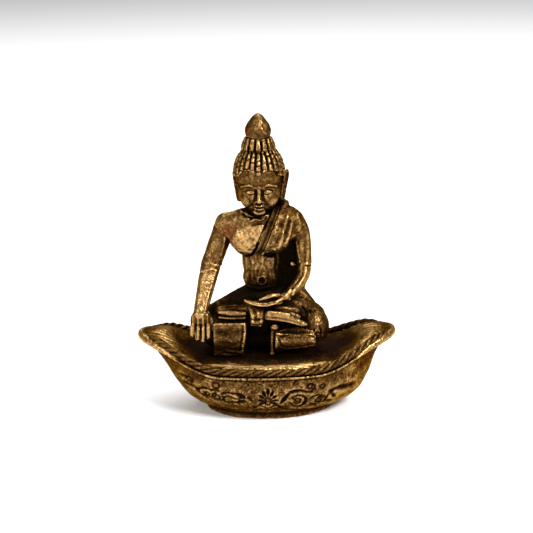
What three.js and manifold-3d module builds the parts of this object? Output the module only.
// A small brass Buddha seated in a boat-shaped ingot, hand down to touch the earth.
// Every piece is the shape of one wax or one casting, with the spigot, socket or peg that
// joins it to its neighbour. Units are millimetres, +Z is up and the figure looks along -Y.
// The origin is the middle of the underside.

import * as THREE from "three";
import { mergeVertices } from "three/addons/utils/BufferGeometryUtils.js";
import Module from "manifold-3d";

const wasm = await Module();
wasm.setup();

// ---- driving dimensions ----

const HEIGHT = 30; // underside to the tip of the finial
const BOAT_HALF_LENGTH = 13.15;
const BOAT_HALF_DEPTH = 6.2;
const RIM_POINT = 1.15; // how much sharper the ends of the rim are than an ellipse's
const FOOT_HALF_LENGTH = 6.45;
const FOOT_HALF_DEPTH = 4.2;
const FOOT_HEIGHT = 0.7;
const FOOT_X = 0.15; // the foot is a little off the middle of the boat
const RIM_LOW = 5.2; // top edge of the hull amidships, under the rope
const TIP_RISE = 2.45; // how much higher the rim is at the ends
const LIP_THICK = 0.65; // how far each lip's top stands above the rim's ledge
const DECK_Z = 6; // the floor that the figure sits on
const DECK_CURL = 0.045; // rise of the deck for each square mm past its flat
const DECK_FLAT = 6.5; // half length of the flat of the deck
const LEDGE = 0.88; // where the rope's ledge starts, as a share of the rim's radius
const ROPE_RADIUS = 0.39;
const ROPE_REACH = 0.975; // share of the half turn from tip to tip that each rope covers

// How far the hull's wall reaches from the middle at heights from the foot, 0, to the rim, 1.
const HULL_STATIONS = [
  { rise: 0, left: 6.55, right: 6.95, depth: 4.25 },
  { rise: 0.12, left: 8, right: 8.9, depth: 4.9 },
  { rise: 0.3, left: 9, right: 9.85, depth: 5.45 },
  { rise: 0.5, left: 9.85, right: 10.45, depth: 5.8 },
  { rise: 0.7, left: 10.65, right: 10.9, depth: 6.02 },
  { rise: 0.88, left: 11.65, right: 11.6, depth: 6.15 },
  { rise: 1, left: BOAT_HALF_LENGTH, right: BOAT_HALF_LENGTH, depth: BOAT_HALF_DEPTH },
];

const PLATE_HALF_LENGTH = 5.2;
const PLATE_HALF_DEPTH = 3.1;
const PLATE_THICK = 0.6;
const CAVITY_TOP = 3.4;
const CAVITY_WALL = 0.5; // how far the plate's edge reaches past the cavity

const FIGURE_X = -0.52; // the figure sits a little to one side of the boat's middle
const FIGURE_Y = 0.8; // and a little behind it
const PEG_SPAN = 1.9; // each peg's distance from the figure's middle
const PEG_Y = 0.9;
const PEG_RADIUS = 0.42;
const PEG_HEAD_RADIUS = 0.75;
const PEG_HEAD = 0.35;
const PEG_GRIP = 2; // length of peg inside the figure

const ROBE_EDGE = 0.33; // where the robe's front edge crosses the spine's plane at EDGE_HEIGHT
const EDGE_HEIGHT = 12.4;
const EDGE_LEAN = 23; // degrees
const SASH_WIDTH = 0.65;
const BACK_EDGE_X = -0.5; // a point on the robe's top edge across the back
const BACK_EDGE_Z = 12.2;
const BACK_SLANT = 38; // degrees that this edge falls towards the bare shoulder
const CLOTH = 0.3; // thickness of the robe where it lies on the body
const HEAD_HALF_WIDTH = 2.35;
const HAIRLINE = 18.5; // the hair's front edge
const FACE_SIZE = 1.8 * HEAD_HALF_WIDTH; // by the sculptors' canon a face is as high as it is wide
const CHIN = HAIRLINE - FACE_SIZE;
const FACE_THIRD = FACE_SIZE / 3; // hairline to brow, brow to nose, nose to chin
const JOINT_GAP = 0.04; // the solder film between two pieces
const BALL_SIDES = 10;
const BALL_RINGS = 7;
const LIMB_SIDES = 8;
const SHADES = { brass: "#8f6c38", rubbed: "#b08a4c", iron: "#6b5a3a" };

// ---- solids ----

// The closed solid that a three.js geometry bounds.
function solid(geometry) {
  const bare = geometry.index ? geometry.toNonIndexed() : geometry.clone();
  bare.deleteAttribute("normal");
  bare.deleteAttribute("uv");
  const merged = mergeVertices(bare, 1e-4);
  return new wasm.Manifold(
    new wasm.Mesh({
      numProp: 3,
      vertProperties: merged.attributes.position.array,
      triVerts: new Uint32Array(merged.index.array),
    }),
  );
}

// The geometry of a solid, ready for a THREE.Mesh.
function geometryOf(made) {
  const mesh = made.getMesh();
  const geometry = new THREE.BufferGeometry();
  geometry.setAttribute(
    "position",
    new THREE.BufferAttribute(mesh.vertProperties, 3),
  );
  geometry.setIndex(new THREE.BufferAttribute(mesh.triVerts, 1));
  geometry.computeVertexNormals();
  return geometry;
}

const join = (first, ...others) => others.reduce((a, b) => a.add(b), first);

// The largest of a solid's separate bodies.
function largest(made) {
  return made
    .decompose()
    .reduce((best, body) => (body.volume() > best.volume() ? body : best));
}

// An ellipsoid, turned about X, Y and Z by the degrees in turn.
function ball(centre, radii, turn = [0, 0, 0]) {
  const [rx, ry, rz] = Array.isArray(radii) ? radii : [radii, radii, radii];
  const geometry = new THREE.SphereGeometry(1, BALL_SIDES, BALL_RINGS);
  geometry.scale(rx, rz, ry).rotateX(Math.PI / 2);
  return solid(turned(geometry, turn).translate(...centre));
}

// Turns a geometry about X, Y and Z by the degrees in turn.
function turned(geometry, [x, y, z]) {
  const degrees = THREE.MathUtils.degToRad;
  return geometry.rotateX(degrees(x)).rotateY(degrees(y)).rotateZ(degrees(z));
}

function block(centre, size, turn = [0, 0, 0]) {
  return solid(
    turned(new THREE.BoxGeometry(...size), turn).translate(...centre),
  );
}

// A turned body on the Z axis, from its [radius, height] profile, which is closed on the axis.
function turnedBody(profile, centre = [0, 0, 0], sides = 16) {
  const points = profile.map(([r, z]) => new THREE.Vector2(r, z));
  const geometry = new THREE.LatheGeometry(points, sides);
  return solid(geometry.rotateX(Math.PI / 2).translate(...centre));
}

function rod(radius, from, to, sides = 10) {
  const along = new THREE.Vector3().subVectors(to, from);
  const geometry = new THREE.CylinderGeometry(
    radius,
    radius,
    along.length(),
    sides,
  );
  const middle = new THREE.Vector3().addVectors(to, from).multiplyScalar(0.5);
  return solid(pointed(geometry, along).translate(...middle));
}

// Turns a geometry that stands along +Y so that it lies along a direction.
function pointed(geometry, along) {
  const up = new THREE.Vector3(0, 1, 0);
  const turn = new THREE.Quaternion().setFromUnitVectors(
    up,
    along.clone().normalize(),
  );
  return geometry.applyQuaternion(turn);
}

// A round-ended taper between two balls, each given as [x, y, z, radius].
function taper([ax, ay, az, ar], [bx, by, bz, br], sides = LIMB_SIDES) {
  const along = new THREE.Vector3(bx - ax, by - ay, bz - az);
  const length = along.length();
  const lean = Math.asin(THREE.MathUtils.clamp((ar - br) / length, -1, 1));
  const steps = 2;
  const points = [];
  for (let i = 0; i <= steps; i++) {
    const angle = -Math.PI / 2 + (i / steps) * (Math.PI / 2 + lean);
    points.push(
      new THREE.Vector2(ar * Math.cos(angle), ar * Math.sin(angle)),
    );
  }
  for (let i = 0; i <= steps; i++) {
    const angle = lean + (i / steps) * (Math.PI / 2 - lean);
    points.push(
      new THREE.Vector2(br * Math.cos(angle), length + br * Math.sin(angle)),
    );
  }
  points[0].x = 0;
  points[points.length - 1].x = 0;
  const geometry = new THREE.LatheGeometry(points, sides);
  return solid(pointed(geometry, along).translate(ax, ay, az));
}

// Tapers joined end to end through a list of [x, y, z, radius], each radius grown by grow.
function limb(balls, grow = 0) {
  const grown = balls.map(([x, y, z, r]) => [x, y, z, r + grow]);
  return join(
    ...grown.slice(1).map((next, i) => taper(grown[i], next)),
  );
}

const point = (x, y, z) => new THREE.Vector3(x, y, z);
const grown = (radii, grow) => radii.map((r) => r + grow);

// ---- the boat ----

// The rim's height above its lowest line, at a distance from amidships.
function sheer(x) {
  return TIP_RISE * THREE.MathUtils.smoothstep(Math.abs(x) / BOAT_HALF_LENGTH, 0.36, 0.98);
}

const rimZ = (x) => RIM_LOW + sheer(x);
const deckZ = (x) =>
  DECK_Z + DECK_CURL * Math.max(Math.abs(x) - DECK_FLAT, 0) ** 2;
const lipRise = (x) =>
  LIP_THICK * THREE.MathUtils.smoothstep(Math.abs(x) / BOAT_HALF_LENGTH, 0.86, 0.98);

// A point on the rim's plan, at a share of its size; cos and sin give the way round.
function rimPlan(cos, sin, share = 1) {
  const y = BOAT_HALF_DEPTH * Math.sign(sin) * Math.abs(sin) ** RIM_POINT;
  return [BOAT_HALF_LENGTH * cos * share, y * share];
}

// A turned body of unit radius whose rings are then moved to the hull's real section.
function hullBody() {
  const sides = 40;
  const deckShares = [0.95, LEDGE, 0.8, 0.66, 0.48, 0.25, 0];
  const rings = [
    { kind: "foot", share: 0, z: 0 },
    { kind: "foot", share: 0.95, z: 0 },
    { kind: "foot", share: 1, z: FOOT_HEIGHT * 0.45 },
  ];
  for (const station of HULL_STATIONS) rings.push({ kind: "wall", ...station });
  for (const share of deckShares) rings.push({ kind: "deck", share });

  const profile = rings.map((ring, i) => new THREE.Vector2(ring.share === 0 ? 0 : 1, i));
  const geometry = new THREE.LatheGeometry(profile, sides);
  const place = geometry.attributes.position;
  for (let i = 0; i < place.count; i++) {
    const ring = rings[Math.round(place.getY(i))];
    place.setXYZ(i, ...hullPoint(ring, place.getZ(i), place.getX(i)));
  }
  return solid(geometry);
}

// Where a ring of the hull passes, the way round given by cos and sin.
function hullPoint(ring, cos, sin) {
  if (ring.kind === "foot") {
    const x = FOOT_X + FOOT_HALF_LENGTH * ring.share * cos;
    return [x, FOOT_HALF_DEPTH * ring.share * sin, ring.z];
  }
  const rimX = BOAT_HALF_LENGTH * cos;
  if (ring.kind === "wall") {
    const { rise, left, right, depth } = ring;
    const power = 1 + (RIM_POINT - 1) * rise;
    const y = depth * Math.sign(sin) * Math.abs(sin) ** power;
    const z = FOOT_HEIGHT + (RIM_LOW - FOOT_HEIGHT) * rise + sheer(rimX) * rise ** 1.3;
    return [(cos < 0 ? left : right) * cos, y, z];
  }
  const [x, y] = rimPlan(cos, sin, ring.share);
  const low = deckZ(x);
  const high = rimZ(rimX) + lipRise(x);
  const hollow = THREE.MathUtils.clamp((high - low) / 1.5, 0, 1);
  const start = THREE.MathUtils.lerp(0.8, 0.5, hollow);
  const climb = THREE.MathUtils.smoothstep(ring.share, start, LEDGE);
  return [x, y, THREE.MathUtils.lerp(low, high, climb)];
}

// An upright elliptical plug between two heights.
function ellipsePlug(halfLength, halfDepth, low, high) {
  const geometry = new THREE.CylinderGeometry(1, 1, high - low, 28);
  geometry
    .rotateX(Math.PI / 2)
    .scale(halfLength, halfDepth, 1)
    .translate(FOOT_X, 0, (low + high) / 2);
  return solid(geometry);
}

const basePlate = (grow = 0) =>
  ellipsePlug(PLATE_HALF_LENGTH + grow, PLATE_HALF_DEPTH + grow, -grow, PLATE_THICK + grow);

const cavity = () =>
  ellipsePlug(
    PLATE_HALF_LENGTH - CAVITY_WALL,
    PLATE_HALF_DEPTH - CAVITY_WALL,
    PLATE_THICK / 2,
    CAVITY_TOP,
  );

// The rope along one side of the rim, from tip to tip. side is -1 in front and 1 behind.
function rimRope(side, grow = 0) {
  const steps = 24;
  const share = (1 + LEDGE) / 2;
  const path = [];
  for (let i = 0; i <= steps; i++) {
    const angle = (0.5 + (i / steps - 0.5) * ROPE_REACH) * Math.PI;
    const cos = -Math.cos(angle);
    const [x, y] = rimPlan(cos, side * Math.sin(angle), share);
    path.push(point(x, y, rimZ(BOAT_HALF_LENGTH * cos) + ROPE_RADIUS + JOINT_GAP));
  }
  const section = new THREE.Shape();
  section.absarc(0, 0, ROPE_RADIUS + grow, 0, 2 * Math.PI);
  return solid(
    new THREE.ExtrudeGeometry(section, {
      steps: 32,
      curveSegments: 4,
      bevelEnabled: false,
      extrudePath: new THREE.CatmullRomCurve3(path),
    }),
  );
}

// ---- the figure, in its own frame: the seat is z = 0 and the spine is x = 0, y = 0 ----

const FIGURE_HEIGHT = HEIGHT - DECK_Z;

// A peg with a riveted head under the deck, and its shank up in the seat.
function seatPeg(side, grow = 0) {
  const low = CAVITY_TOP - DECK_Z - PEG_HEAD - JOINT_GAP;
  return turnedBody(
    [
      [0, low - grow],
      [PEG_HEAD_RADIUS + grow, low - grow],
      [PEG_HEAD_RADIUS + grow, low + PEG_HEAD + grow],
      [PEG_RADIUS + grow, low + PEG_HEAD + grow],
      [PEG_RADIUS + grow, PEG_GRIP + grow],
      [0, PEG_GRIP + grow],
    ],
    [side * PEG_SPAN, PEG_Y, 0],
    12,
  );
}

// A lotus-bud finial with a tenon under it.
function finial(grow = 0) {
  const top = FIGURE_HEIGHT;
  return turnedBody([
    [0, top - 3.1 - grow],
    [0.5 + grow, top - 3.1 - grow],
    [0.5 + grow, top - 2.3 - grow],
    [1.2 + grow, top - 2.3 - grow],
    [1.27 + grow, top - 1.9],
    [1.24 + grow, top - 1.4],
    [1.05 + grow, top - 1.05],
    [0.74 + grow, top - 0.62],
    [0.38 + grow, top - 0.16 + grow],
    [0, top + grow],
  ]);
}

// The bound topknot, with a tenon down into the hair.
function topknot(grow = 0) {
  return turnedBody([
    [0, 19.9 - grow],
    [0.7 + grow, 19.9 - grow],
    [0.7 + grow, 20.5 - grow],
    [1.76 + grow, 20.5 - grow],
    [1.64 + grow, 21.1],
    [1.3 + grow, 21.7 + grow],
    [0, 21.7 + grow],
  ]);
}

// The cap of hair: a tall dome cut along the hairline, low at the nape.
function hairCap(grow = 0) {
  const dome = ball([0.04, 0.05, 18.1], grown([2.64, 2.74, 3.1], grow));
  const face = block([0, -3.2, 15.6], grown([8, 5, 5.8], -2 * grow), [-14, 0, 0]);
  const nape = block([0, 2, 14.35], grown([8, 6, 4], -2 * grow));
  return dome.subtract(face).subtract(nape);
}

function ear(side, grow = 0) {
  const x = 0.18 + side * 2.46;
  return join(
    ball([x, -0.15, 17.35], grown([0.38, 0.62, 1.05], grow), [0, side * 6, 0]),
    limb(
      [
        [x - side * 0.12, -0.1, 16.7, 0.3],
        [x - side * 0.42, -0.25, 15.5, 0.3],
      ],
      grow,
    ),
  );
}

// The skull, face and neck, with the neck's spigot at the bottom. The face is round, and the
// nose takes its middle third.
function head(grow = 0) {
  const middle = CHIN + FACE_SIZE / 2;
  return join(
    ball([0, 0, 18], grown([HEAD_HALF_WIDTH, 2.5, 2.3], grow)),
    ball([0, -0.45, middle], grown([FACE_SIZE / 2, 1.95, FACE_SIZE / 2], grow)),
    ball([0, -2.25, middle], grown([0.34, 0.42, FACE_THIRD / 2], grow)),
    limb(
      [
        [0, 0.1, 15.6, 1.35],
        [0, 0.1, 14.9, 1.35],
      ],
      grow,
    ),
    rod(0.7 + grow, point(0, 0.1, 12.9 - grow), point(0, 0.1, 15)),
  );
}

// Chest, shoulders, waist and belly.
function torso(grow = 0) {
  return join(
    limb(
      [
        [-2.8, 0, 12.9, 1.2],
        [0, 0, 13.3, 1.45],
        [2.7, 0, 12.95, 1.2],
      ],
      grow,
    ),
    ball([0, 0.05, 11.9], grown([3, 1.75, 2.3], grow)),
    ball([-1.35, -0.95, 11.6], grown([1.5, 0.9, 1.5], grow)),
    ball([1.35, -0.95, 11.6], grown([1.5, 0.9, 1.5], grow)),
    ball([0, 0.05, 9.2], grown([1.68, 1.4, 2.8], grow)),
    ball([0, -0.1, 7.4], grown([1.65, 1.4, 1.7], grow)),
    limb(
      [
        [0, 0, 14, 1.3],
        [0, 0, 14.5, 1.1],
      ],
      grow,
    ),
  );
}

function rightUpperArm(grow = 0) {
  return join(
    limb(
      [
        [-3.3, 0, 12.95, 1.18],
        [-4.05, -0.05, 11.2, 1.06],
        [-4.82, -0.35, 9.2, 1.02],
      ],
      grow,
    ),
    rod(0.5 + grow, point(-3.3, 0, 12.95), point(-1.6 + grow, 0, 12.95)),
  );
}

function rightForearm(grow = 0) {
  return join(
    limb(
      [
        [-4.95, -0.45, 8.75, 1.08],
        [-5.42, -1.4, 7.1, 0.92],
        [-5.95, -2.7, 5.1, 0.74],
      ],
      grow,
    ),
    rod(0.45 + grow, point(-4.95, -0.45, 8.75), point(-4.6, -0.2, 10 + grow)),
  );
}

// The hand that points to the earth: palm, four fingers and a thumb, with a wrist spigot.
function rightHand(grow = 0) {
  const palm = join(
    ball([-6, -3, 4.05], grown([1.02, 0.55, 1.05], grow), [14, 0, 0]),
    rod(0.34 + grow, point(-6, -3, 4.2), point(-5.75, -2.35, 5.7 + grow)),
  );
  const knuckles = [-6.78, -6.25, -5.72, -5.2];
  const tips = [
    [-6.88, -3.55, 2.25],
    [-6.32, -3.7, 1.95],
    [-5.72, -3.7, 1.85],
    [-5.12, -3.6, 2.1],
  ];
  const fingers = knuckles.map((x, i) =>
    limb(
      [
        [x, -3.15, 3.7, 0.29],
        [...tips[i], 0.22],
      ],
      grow,
    ),
  );
  return join(palm, ...fingers);
}

function leftUpperArm(grow = 0) {
  return join(
    limb(
      [
        [3.15, 0, 13.05, 1.18],
        [4.12, 0.1, 11.2, 0.78],
        [4.32, 0, 8.9, 0.56],
      ],
      grow,
    ),
    rod(0.5 + grow, point(3.15, 0, 13.05), point(1.6 - grow, 0, 13.05)),
  );
}

function leftForearm(grow = 0) {
  return join(
    limb(
      [
        [4.34, -0.1, 8.45, 0.56],
        [3.9, -1.1, 7.3, 0.54],
        [3, -2.2, 6.55, 0.5],
        [2.4, -2.85, 6.2, 0.42],
      ],
      grow,
    ),
    rod(0.3 + grow, point(4.34, -0.1, 8.4), point(4.32, 0, 9.5 + grow)),
  );
}

// The hand that lies open in the lap.
function leftHand(grow = 0) {
  return join(
    ball([0.65, -3.3, 5.88], grown([1.5, 0.8, 0.3], grow), [0, 4, 6]),
    limb(
      [
        [0, -3.6, 5.78, 0.27],
        [-1.55, -3.6, 6.1, 0.18],
      ],
      grow,
    ),
    limb(
      [
        [1.55, -3.15, 6.35, 0.26],
        [0, -3.4, 6.22, 0.2],
      ],
      grow,
    ),
    rod(0.24 + grow, point(1.5, -3.3, 6.02), point(2.8 + grow, -2.45, 6.4)),
  );
}

// The half space on the robe's side of its leaning front edge, a distance past that edge.
function clothedSide(shift) {
  const width = 12;
  const lean = THREE.MathUtils.degToRad(EDGE_LEAN);
  const x = ROBE_EDGE + shift + (width / 2) * Math.cos(lean);
  const z = EDGE_HEIGHT - (width / 2) * Math.sin(lean);
  return block([x, 0, z], [width, 12, 24], [0, EDGE_LEAN, 0]);
}

// The robe on the shoulder and breast, the web behind the arm and the sleeve over the hip.
function robe(grow = 0) {
  const body = join(torso(CLOTH + grow), leftUpperArm(CLOTH + grow));
  const upper = block([0, 0, 12.65], [14, 12, 5.5 + 2 * grow]);
  const shoulder = body.intersect(clothedSide(SASH_WIDTH + JOINT_GAP - grow)).intersect(upper);
  const back = torso(CLOTH + grow).intersect(backDrape(grow));
  const web = block([2.9, 1, 8.9], grown([3.1, 0.5, 6.6], 2 * grow));
  const bead = ball([3.24, 0.62, 8.5], 0.33 + grow);
  const collar = limb(
    [
      [0.8, 1.2, 14.7, 0.45],
      [2.45, 0.5, 14.55, 0.42],
    ],
    grow,
  );
  const sleeve = limb(
    [
      [3.7, 0.9, 5.6, 0.7],
      [4.75, 0.2, 4.3, 0.6],
      [5.8, -0.4, 3.4, 0.5],
    ],
    grow,
  );
  return join(shoulder, back, web, bead, collar, sleeve);
}

// The space behind the body that is below the robe's slanting top edge.
function backDrape(grow) {
  const behind = block([0, 4.3, 10], grown([9, 8, 8.4], 2 * grow));
  const slant = THREE.MathUtils.degToRad(BACK_SLANT);
  const reach = 6 + grow;
  const x = BACK_EDGE_X + reach * Math.sin(slant);
  const z = BACK_EDGE_Z - reach * Math.cos(slant);
  return behind.intersect(block([x, 4.3, z], [24, 9, 12], [0, -BACK_SLANT, 0]));
}

// The folded strip that lies along the robe's front edge.
function sash(grow = 0) {
  const strip = clothedSide(-grow).subtract(clothedSide(SASH_WIDTH + grow));
  const front = block([0, -3, 12.5], [8, 6, 4.6 + 2 * grow]);
  return torso(CLOTH * 1.5 + grow).intersect(strip).intersect(front);
}

// The folded shin of the right leg, in a stiff cylinder of cloth.
function rightShin(grow = 0) {
  return join(
    roundedDrum([-3.1, -1.7, 2.05], [1.68, 1.95, 2], grow),
    ball([-4.7, -0.4, 2.4], grown([1.7, 1.8, 2.3], grow)),
  );
}

function leftShin(grow = 0) {
  return join(
    roundedDrum([3.35, -1.75, 1.5], [1.98, 1.75, 1.3], grow),
    ball([5.35, -0.8, 2.3], grown([1.5, 1.9, 2], grow)),
  );
}

// A drum lying along X, with its edges rounded and its end faces flat.
function roundedDrum([x, y, z], [halfLength, halfDepth, halfHeight], grow) {
  const geometry = new THREE.CylinderGeometry(1, 1, 2, 16, 1);
  geometry
    .rotateZ(Math.PI / 2)
    .scale(halfLength + grow, halfDepth + grow, halfHeight + grow)
    .translate(x, y, z);
  return solid(geometry);
}

// Each foot is laid on the opposite shin, heel towards the middle.
const rightFoot = (grow = 0) =>
  limb(
    [
      [0.8, -3.2, 4.4, 0.52],
      [2.3, -3.2, 4.15, 0.44],
      [4.3, -2.8, 3.25, 0.24],
    ],
    grow,
  );

const leftFoot = (grow = 0) =>
  limb(
    [
      [-1.75, -3.15, 4.3, 0.32],
      [-2.9, -3.15, 4.45, 0.38],
      [-4.1, -2.95, 4.5, 0.24],
    ],
    grow,
  );

// The end of the robe that hangs between the feet.
const robeEnd = (grow = 0) =>
  limb(
    [
      [-0.52, -3, 4.8, 0.64],
      [-0.48, -3.25, 4, 0.6],
    ],
    grow,
  );

// The headed prop under the crossed feet, which stands on the deck.
function lapProp(grow = 0) {
  return join(
    ball([1.3, -3.1, 3.12], 0.44 + grow),
    limb(
      [
        [1.15, -3.05, 2.8, 0.2],
        [1.02, -2.95, 0.3, 0.2],
      ],
      grow,
    ),
  );
}

// Hips and thighs under the robe, down to the deck.
function lap(grow = 0) {
  return join(
    ball([0, 0.7, 3.4], grown([3, 2.5, 3.5], grow)),
    limb(
      [
        [-1.3, 0.5, 4.45, 1.85],
        [-4.2, -0.5, 3.4, 1.6],
      ],
      grow,
    ),
    limb(
      [
        [1.3, 0.5, 4.6, 1.9],
        [4.9, -0.4, 3.1, 1.65],
      ],
      grow,
    ),
    ball([0, -1.3, 4.7], grown([2.6, 1.6, 0.9], grow)),
    ball([0, 0.9, 1], grown([4.6, 2.5, 1.6], grow)),
  );
}

// ---- assembly ----

// Each piece keeps what is left of its own shape once the pieces before it have had theirs.
const FIGURE_PIECES = [
  ["seat_peg_right", (grow) => seatPeg(-1, grow), SHADES.iron],
  ["seat_peg_left", (grow) => seatPeg(1, grow), SHADES.iron],
  ["finial", finial, SHADES.rubbed],
  ["topknot", topknot, SHADES.brass],
  ["hair_cap", hairCap, SHADES.brass],
  ["right_ear", (grow) => ear(-1, grow), SHADES.brass],
  ["left_ear", (grow) => ear(1, grow), SHADES.brass],
  ["head", head, SHADES.rubbed],
  ["right_hand", rightHand, SHADES.rubbed],
  ["right_forearm", rightForearm, SHADES.rubbed],
  ["right_upper_arm", rightUpperArm, SHADES.brass],
  ["left_hand", leftHand, SHADES.rubbed],
  ["left_forearm", leftForearm, SHADES.brass],
  ["left_upper_arm", leftUpperArm, SHADES.brass],
  ["torso", torso, SHADES.rubbed],
  ["sash", sash, SHADES.brass],
  ["robe", robe, SHADES.brass],
  ["lap_prop", lapProp, SHADES.rubbed],
  ["right_foot", rightFoot, SHADES.rubbed],
  ["left_foot", leftFoot, SHADES.rubbed],
  ["robe_end", robeEnd, SHADES.rubbed],
  ["right_shin", rightShin, SHADES.brass],
  ["left_shin", leftShin, SHADES.brass],
  ["lap", lap, SHADES.brass],
];

const part = new THREE.Group();
const figure = new THREE.Group();
figure.position.set(FIGURE_X, FIGURE_Y, DECK_Z);
part.add(figure);

function addMesh(parent, name, made, colour) {
  const material = new THREE.MeshStandardMaterial({
    color: colour,
    roughness: 0.45,
    metalness: 1,
  });
  const mesh = new THREE.Mesh(geometryOf(made), material);
  mesh.name = name;
  parent.add(mesh);
}

const underDeck = block([0, 0, -50 + JOINT_GAP], [100, 100, 100]);
const taken = [];
for (const [name, shape, colour] of FIGURE_PIECES) {
  let made = shape(0);
  for (const other of taken) made = made.subtract(other);
  if (!name.startsWith("seat_peg")) made = made.subtract(underDeck);
  addMesh(figure, name, largest(made), colour);
  taken.push(shape(JOINT_GAP));
}

const pegHoles = [-1, 1].map((side) =>
  seatPeg(side, JOINT_GAP).translate([FIGURE_X, FIGURE_Y, DECK_Z]),
);
const ropeSeats = [-1, 1].map((side) => rimRope(side, JOINT_GAP));
const hull = [basePlate(JOINT_GAP), cavity(), ...pegHoles, ...ropeSeats].reduce(
  (body, cut) => body.subtract(cut),
  hullBody(),
);
addMesh(part, "boat_hull", largest(hull), SHADES.brass);
addMesh(part, "base_plate", basePlate(), SHADES.brass);
addMesh(part, "rim_rope_front", rimRope(-1), SHADES.rubbed);
addMesh(part, "rim_rope_back", rimRope(1).subtract(rimRope(-1, JOINT_GAP)), SHADES.rubbed);

export default part;
